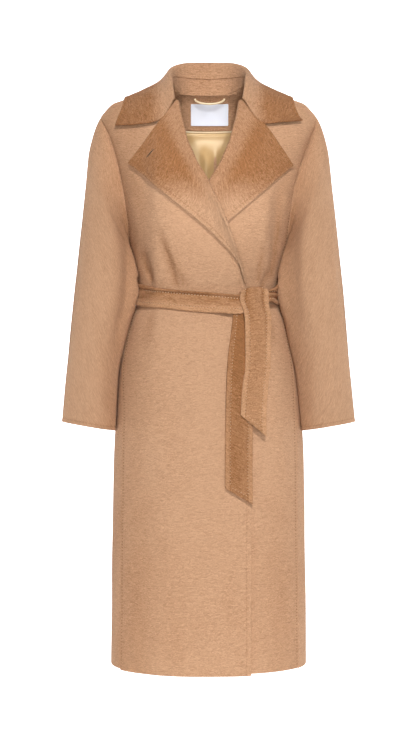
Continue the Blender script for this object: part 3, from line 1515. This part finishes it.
def belt_creases(degrees, height):
    """Long soft creases in the band, drawn towards the tie and flat at the back."""
    total = 0.0
    for where, spread, level, thin, depth in BELT_CREASES:
        away = (degrees - where + 180) % 360 - 180
        near = math.exp(-((away / spread) ** 2))
        total += depth * near * math.exp(-(((height - level) / thin) ** 2))
    return total


def fine_band(name, looks):
    """The belt round the waist: a rolled strip at the top, a hollow under it, stitched edges."""
    outer, inner, shade = [], [], []
    for share in BAND_SHARES:
        row_out, row_in, tones = [], [], []
        for j in range(BAND_COLUMNS):
            degrees = -180 + 360 * j / BAND_COLUMNS
            middle = BELT_BAND.at("middle", degrees)
            width = BELT_BAND.at("height", degrees)
            angle = math.radians(degrees)
            wider = 0.0030 * ramp(math.cos(angle), 0.1, 0.4) * (1 - ramp(degrees, -10, 30))
            shown = width + wider
            height = middle + shown * (share - 0.5)
            base = surface_point(angle, height)
            lift = belt_lift(base.x, height) if math.cos(angle) > 0 else 0.0
            lift += uneven(base) * 0.6
            tied = ramp(degrees, -75, -20) * (1 - ramp(degrees, 5, 30))
            roll = (0.0012 + 0.0016 * tied) * ramp(share, 0.84, 0.90)
            roll *= 1 - ramp(share, 0.985, 1.0)
            hollow = -(0.0008 + 0.0016 * tied) * math.exp(-(((share - 0.815) / 0.028) ** 2))
            wave = 0.0013 * noise.noise(Vector((degrees * 0.16, share * 7 + degrees * 0.02, 1.0)))
            wave += 0.0010 * noise.noise(Vector((degrees * 0.45, share * 15, 4.0)))
            wave = wave * ramp(share, 0.18, 0.26) * (1 - ramp(share, 0.72, 0.8))
            crease = belt_creases(degrees, height) + wave
            if share in BAND_STITCHED:
                crease -= STITCH_SINK
            belly = 0.0012 * ramp(share, 0.0, 0.12) - 0.0010 * ramp(share, 0.97, 1.0)
            bulk = BELT_LAY + BELT_THICK + crease + roll + hollow + belly
            row_out.append(offset_point(angle, height, lift + bulk))
            under = BELT_LAY + min(crease + hollow, 0.0) * 0.5
            row_in.append(offset_point(angle, height, lift + under))
            tone = 0.26 + 0.30 * ramp(share, 0.20, 0.40) + 0.18 * ramp(share, 0.76, 0.82)
            tone += 0.6 * min(max(-crease / 0.003, 0.0), 1.0)
            tones.append(tone + (GROOVE_TONE if share in BAND_STITCHED else 0.0))
        outer.append(row_out)
        inner.append(row_in)
        shade.append(tones)
    outer, inner = as_grid(outer), as_grid(inner)
    return cloth(name, outer, inner, looks, True, shade=shade), outer, outer - inner


def tail_across(tail, height, share):
    return tail.at("across", height) + tail.at("width", height) * (share - 0.5)


def fine_tail_back(name, looks):
    """The belt's end that comes out from under the band."""
    outer, inner = [], []
    levels = [0.0, 0.006, 0.014, 0.022, TAIL_CROSS_STITCHED, 0.030]
    levels += [*np.linspace(0.045, 0.99, TAIL_DEEP_ROWS), 1.0]
    for t in levels:
        row_out, row_in = [], []
        for k, u in enumerate(TAIL_SHARES):
            height = mix(mix(*BACK_TAIL_END, u), mix(*BACK_TAIL_TOP, u), t)
            across = tail_across(BACK_TAIL, height, u)
            lift = wrap_lift(across, height) + BELT_LAY
            sway = 0.0016 * math.sin(height * 21 + 0.6) * ramp(-height, 0.50, 0.60) + 0.0010
            sway += uneven(Vector((across, -0.15, height)))
            sewn = k in TAIL_STITCHED or t == TAIL_CROSS_STITCHED
            sink = STITCH_SINK if sewn else 0.0
            row_out.append(laid_point(across, height, lift + BELT_THICK + sway - sink))
            row_in.append(laid_point(across, height, lift + sway))
        outer.append(row_out)
        inner.append(row_in)
    outer, inner = as_grid(outer), as_grid(inner)
    shade = np.repeat(tail_tone()[None, :], len(levels), axis=0)
    shade += np.array([[0.25 + 0.45 * ramp(t, 0.30, 0.95)] for t in levels])
    return cloth(name, outer, inner, looks, shade=shade), outer, outer - inner


def tail_tone():
    """Pale edges, a dark groove under the stitches and a darker middle, across a belt end."""
    tones = []
    for k, u in enumerate(TAIL_SHARES):
        groove = 0.40 if k in TAIL_STITCHED else 0.0
        tones.append(0.22 + 0.32 * ramp(min(u, 1 - u), 0.14, 0.24) + groove)
    return np.array(tones)


def fine_tail_front(name, looks):
    """The belt's end that is turned over the band and falls in front."""
    half = BELT_THICK / 2
    columns = ([], [])
    for k, u in enumerate(TAIL_SHARES):
        top = mix(*FRONT_TAIL_TOP, u) + 0.0080 * math.sin(math.pi * u**0.85) - 0.0035
        path = front_tail_path(top, mix(*FRONT_TAIL_END, u))
        stations = np.array(path)
        steps = np.hypot(np.diff(stations[:, 0]), np.diff(stations[:, 1]))
        run = np.concatenate([[0.0], np.cumsum(steps)])
        places = np.concatenate([
            np.linspace(0, 0.034, 22),
            np.linspace(0.040, run[-1] - 0.018, 40),
            run[-1] - np.array([0.0115, 0.0095, 0.0078, 0.005, 0.002, 0.0]),
        ])
        made = ([], [])
        for order, place in enumerate(places):
            height, distance, rise, out = (
                float(np.interp(place, run, stations[:, c])) for c in range(4)
            )
            size = math.hypot(rise, out)
            rise, out = rise / size, out / size
            across = tail_across(FRONT_TAIL, height, u)
            lift = wrap_lift(across, height)
            if out > 0.9:
                lift += 0.0014 * math.sin(height * 24) * ramp(-height, 0.47, 0.54)
                lift += uneven(Vector((across, -0.16, height)))
                lift += tie_folds(u, height)
            thick = half - (STITCH_SINK if k in TAIL_STITCHED and out > 0.9 else 0.0)
            if order == len(places) - 5:
                thick -= STITCH_SINK
            for line, way in zip(made, (thick, -half)):
                level = height + rise * way
                line.append(laid_point(across, level, lift + distance + out * way))
        for line, column in zip(columns, made):
            line.append(column)
    outer, inner = (as_grid(c).transpose(1, 0, 2) for c in columns)
    shade = np.repeat(tail_tone()[None, :], outer.shape[0], axis=0)
    for row, points in zip(shade, outer):
        row += [150 * max(-tie_folds(u, point[2]), 0.0) for u, point in zip(TAIL_SHARES, points)]
    return cloth(name, outer, inner, looks, shade=shade), outer, outer - inner


def tie_folds(share, height):
    """Folds fanning down from the tie, where the strip is drawn together."""
    near = 1 - ramp(-height, 0.41, 0.50)
    total = 0.0
    for middle, width, depth in TIE_FOLDS:
        total += depth * math.exp(-(((share - middle) / width) ** 2))
    return total * near


def tube(name, line, radius, looks):
    """A round strip along a line."""
    sides = 10
    rings = []
    count = len(line)
    for i, point in enumerate(line):
        along = line[min(i + 1, count - 1)] - line[max(i - 1, 0)]
        side = along.cross(Vector((0.0, 1.0, 0.0))).normalized()
        front = side.cross(along).normalized()
        rings.append([
            tuple(point + (side * math.cos(a) + front * math.sin(a)) * radius)
            for a in (2 * math.pi * k / sides for k in range(sides))
        ])
    points = [p for ring in rings for p in ring]
    faces = list(grid_quads(count, sides, sides))
    faces += [tuple(range(sides))[::-1], tuple((count - 1) * sides + k for k in range(sides))]
    chart = [(0.004 * (k % sides) / sides, 0.005 * (k // sides)) for k in range(len(points))]
    return put(name, mesh_of(name, points, faces, looks, np.array(chart)))


SIDES_OF_BODY = (("right", -1), ("left", 1))


def ringed(grid, row):
    """A row of a closed grid, brought back to its start."""
    return np.concatenate([grid[row], grid[row, :1]])


def build():
    body_wool = wool("brushed_wool", WOOL_LIGHT, WOOL_DARK, WOOL_DEEP)
    turned_wool = wool("brushed_wool_turned", WOOL_LIGHT, WOOL_DARK, WOOL_DEEP, 1.3)
    belt_wool = wool("brushed_wool_belt", BELT_LIGHT, BELT_DARK, WOOL_DEEP, 1.2)
    thread = wool("thread", (0.33, 0.175, 0.090), (0.27, 0.14, 0.070), (0.27, 0.14, 0.07), 0.3)
    pale_thread = wool("pale_thread", (0.80, 0.60, 0.41), (0.72, 0.52, 0.34), (0.7, 0.5, 0.3), 0.3)
    lining_satin = satin("lining_satin", LINING_DARK, LINING_LIGHT)
    trim_satin = satin("trim_satin", (0.70, 0.55, 0.34), (0.84, 0.68, 0.46), roughness=0.4)
    tag_ribbon = satin("tag_ribbon", (0.80, 0.83, 0.92), (0.88, 0.91, 1.00), roughness=0.5)
    sewn = {}
    fronts = {}
    for key, side in SIDES_OF_BODY:
        fronts[key] = fine_front(f"front_{key}_cloth", side, body_wool)
        stands_for(fronts[key][0], f"front_{key}")
    back_out, back_in = fine_back_layer(fine_rows(HEM_Z), (0.0, -WOOL), 72)
    shade = [[body_shade(Vector(p)) for p in row] for row in back_out]
    back = cloth("back_cloth", back_out, back_in, body_wool, shade=shade)
    stands_for(back, "back")
    ground = ground_of([fronts["right"][0], fronts["left"][0], back])
    outside = -WOOL - FACING_LAY
    levels = [nominal_of_share(s) for s in (*np.linspace(FACING_SHARE, 0.99, 14), 1.0)]
    distances = (outside, outside - FACING_THICK)
    out, inn = fine_back_layer(levels, distances, 60, LAYER_INSET)
    facing = cloth("neck_facing_cloth", out, inn, turned_wool, shade=np.full(out.shape[:2], 0.30))
    stands_for(facing, "neck_facing")
    shares = [mix(PIPING_LOW, FACING_SHARE - SHARE_GAP, t) for t in (0, 0.25, 0.5, 0.75, 1)]
    levels = [nominal_of_share(share) for share in shares]
    distances = (outside, outside - FACING_THICK - PIPING_PROUD)
    out, inn = fine_back_layer(levels, distances, 60, LAYER_INSET)
    piping = cloth("neck_piping_cloth", out, inn, trim_satin)
    stands_for(piping, "neck_piping")
    outside = -WOOL - LINING_EASE
    top = nominal_of_share(PIPING_LOW - SHARE_GAP)
    levels = [*np.linspace(LINING_HEM_Z, -0.40, 30), *np.linspace(-0.385, top, 44)]
    distances = (outside, outside - SATIN)
    out, inn = fine_back_layer(levels, distances, 110, LAYER_INSET, lining_folds)
    lining = cloth("lining_cloth", out, inn, lining_satin, smooth=0)
    stands_for(lining, "lining_back")
    for key, side, table in (("right", -1, RIGHT_LAPEL), ("left", 1, LEFT_LAPEL)):
        piece, front, normals = fine_lapel(f"lapel_{key}_cloth", side, table, turned_wool)
        stands_for(piece, f"lapel_{key}")
        if key == "right":
            right_lapel = front
        sewn[f"lapel_{key}"] = [(front[2:-14, STITCHED_AT], normals[2:-14, STITCHED_AT])]
    collar, front, normals = fine_collar("collar_cloth", ground, turned_wool)
    stands_for(collar, "collar")
    sewn["collar"] = [(front[STITCHED_AT, 2:-2], normals[STITCHED_AT, 2:-2])]
    stand = fine_stand("collar_stand_cloth", turned_wool)
    stands_for(stand, "collar_stand")
    for key, side, folds in (("right", -1, RIGHT_SLEEVE_FOLDS), ("left", 1, LEFT_SLEEVE_FOLDS)):
        folds = folds + MORE_SLEEVE_FOLDS
        piece, front, normals = fine_sleeve(f"sleeve_{key}_cloth", side, folds, body_wool)
        stands_for(piece, f"sleeve_{key}")
        sewn[f"sleeve_{key}"] = [(ringed(front, -4), ringed(normals, -4))]
    band, out, away = fine_band("belt_band_cloth", belt_wool)
    stands_for(band, "belt_band")
    rows = [BAND_SHARES.index(share) for share in BAND_STITCHED]
    sewn["belt_band"] = [(ringed(out, row), ringed(away, row)) for row in rows]
    for key, maker in (("back", fine_tail_back), ("front", fine_tail_front)):
        piece, out, away = maker(f"belt_tail_{key}_cloth", belt_wool)
        stands_for(piece, f"belt_tail_{key}")
        if key == "back":
            lines = [(out[4:, k], away[4:, k]) for k in TAIL_STITCHED]
            lines.append((out[4, 4:14], away[4, 4:14]))
        else:
            lines = [(out[14:-4, k], away[14:-4, k]) for k in TAIL_STITCHED]
            lines.append((out[-5, 4:14], away[-5, 4:14]))
        sewn[f"belt_tail_{key}"] = lines
    for key, (_, grid, under) in fronts.items():
        away = grid - under
        lines = [(grid[1:46, STITCHED_AT], away[1:46, STITCHED_AT])] if key == "right" else []
        lines += [(grid[1:78, beside], away[1:78, beside]) for beside in (2, 3)]
        sewn[f"front_{key}"] = lines
    for key, lines in sewn.items():
        stitches(f"stitches_{key}", lines, pale_thread if "belt" in key else thread)
    tag(tag_ribbon)
    loop(trim_satin)
    buttonhole(right_lapel, thread)


def tag(looks):
    """The bare label on the neck facing, a little uneven."""
    inside = -WOOL - FACING_LAY - FACING_THICK - LABEL_EASE
    grids = ([], [])
    for i in range(LABEL_ROWS):
        height = LABEL_CENTRE[1] + LABEL_HEIGHT * (i / (LABEL_ROWS - 1) - 0.5)
        made = ([], [])
        for j in range(LABEL_COLUMNS):
            across = LABEL_CENTRE[0] + LABEL_WIDTH * (j / (LABEL_COLUMNS - 1) - 0.5)
            ease = inside - LABEL_WAVE * math.sin(j * 0.55) * math.sin(i * 0.4)
            made[0].append(laid_point(across, height, ease, False))
            made[1].append(laid_point(across, height, ease - LABEL_THICK, False))
        for grid, row in zip(grids, made):
            grid.append(row)
    piece = cloth("label_cloth", as_grid(grids[0]), as_grid(grids[1]), looks)
    stands_for(piece, "label")


def loop(looks):
    """The hanger loop over the label, from one end on the facing to the other."""
    line = []
    for i in range(LOOP_STATIONS):
        t = i / (LOOP_STATIONS - 1)
        droop = math.sin(math.pi * t) ** 0.45
        across = mix(-LOOP_HALF, LOOP_HALF, t) + LABEL_CENTRE[0]
        height = mix(LOOP_END_Z, LOOP_LOW_Z, droop)
        line.append(laid_point(across, height, LOOP_DISTANCE - LOOP_SAG * droop, False))
    piece = tube("hanger_loop_cord", line, LOOP_RADIUS, looks)
    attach(piece, "root")
    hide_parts("hanger_loop")


def buttonhole(front, looks):
    """The slit in the wearer's right lapel, edged with close stitches."""
    rows, columns = front.shape[:2]
    faces = list(grid_quads(rows, columns, columns - 1))
    ground = BVHTree.FromPolygons([Vector(p) for p in front.reshape(-1, 3)], faces)
    (x0, z0), (x1, z1) = BUTTONHOLE

    def line(aside, rise):
        points = []
        for k in range(SLIT_STATIONS):
            t = k / (SLIT_STATIONS - 1)
            bow = aside * math.sin(math.pi * t) ** 0.5
            x = mix(x0, x1, t) + bow * 0.75
            z = mix(z0, z1, t) - bow * 0.65
            hit = ground.ray_cast(Vector((x, -0.5, z)), Vector((0.0, 1.0, 0.0)))[0]
            points.append((hit.x, hit.y - rise, hit.z))
        return np.array(points)

    outward = np.tile((0.0, -1.0, 0.0), (SLIT_STATIONS, 1))
    rows = [(line(aside, 0.0003), outward) for aside in (-0.0016, 0.0016)]
    stitches("buttonhole_stitches", rows, looks, 0.0016, 0.0013, 0.0013, 0.0005)
    grid = np.array([line(aside, 0.0005) for aside in (-0.0011, 0.0, 0.0011)])
    dark = plain("slit_shadow", (0.035, 0.018, 0.010))
    slit = cloth("buttonhole_slit", grid, grid + np.array((0.0, 0.0004, 0.0)), dark)
    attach(slit, "root")


# Stage


def plain(name, colour, glow=0.0):
    return principled(name, {
        "Base Color": (*colour, 1.0),
        "Roughness": 0.9,
        "Emission Color": (1.0, 1.0, 1.0, 1.0),
        "Emission Strength": glow,
    })[0]


def stage():
    back = [(-STAGE_HALF, BACKDROP_Y, FLOOR_Z), (STAGE_HALF, BACKDROP_Y, FLOOR_Z)]
    front = [(-STAGE_HALF, FLOOR_FRONT, FLOOR_Z), (STAGE_HALF, FLOOR_FRONT, FLOOR_Z)]
    top = [(STAGE_HALF, BACKDROP_Y, STAGE_HALF), (-STAGE_HALF, BACKDROP_Y, STAGE_HALF)]
    for name, corners in (("floor", front + back[::-1]), ("backdrop", back + top)):
        looks = plain(name + "_white", (0.9, 0.9, 0.9), FLOOR_GLOW)
        made = put(name, mesh_of(name, corners, [(0, 1, 2, 3)], looks, smooth=False))


def light(name, place, target, size, power):
    data = bpy.data.lights.new(name, "AREA")
    data.shape = "RECTANGLE"
    data.size, data.size_y = size
    data.energy = power
    aimed(data, name, place, target)


def aimed(data, name, place, target):
    made = put(name, data)
    made.location = place
    way = Vector(target) - Vector(place)
    made.rotation_euler = way.to_track_quat("-Z", "Y").to_euler()


def studio():
    scene = bpy.context.scene
    world = bpy.data.worlds.new("studio")
    world.use_nodes = True
    back = world.node_tree.nodes["Background"]
    set_inputs(back, {"Color": (1.0, 1.0, 1.0, 1.0), "Strength": WORLD})
    scene.world = world
    for row in LIGHTS:
        light(*row)
    name, place, target, angle, power = NECK_LIGHT
    data = bpy.data.lights.new(name, "SPOT")
    data.energy = power
    data.spot_size = math.radians(angle)
    data.spot_blend = 1.0
    data.shadow_soft_size = 0.15
    aimed(data, name, place, target)
    scene.view_settings.view_transform = "Standard"
    scene.view_settings.look = "None"
    data = bpy.data.cameras.new("camera")
    data.sensor_width = SENSOR
    data.lens = SENSOR / 2 * FOCAL_PIXELS / HALF_HEIGHT_PIXELS
    data.clip_end = 200.0
    camera = put("camera", data)
    camera.location = CAMERA_PLACE
    camera.rotation_euler = (math.pi / 2, 0.0, 0.0)
    scene.camera = camera


build()
stage()
studio()
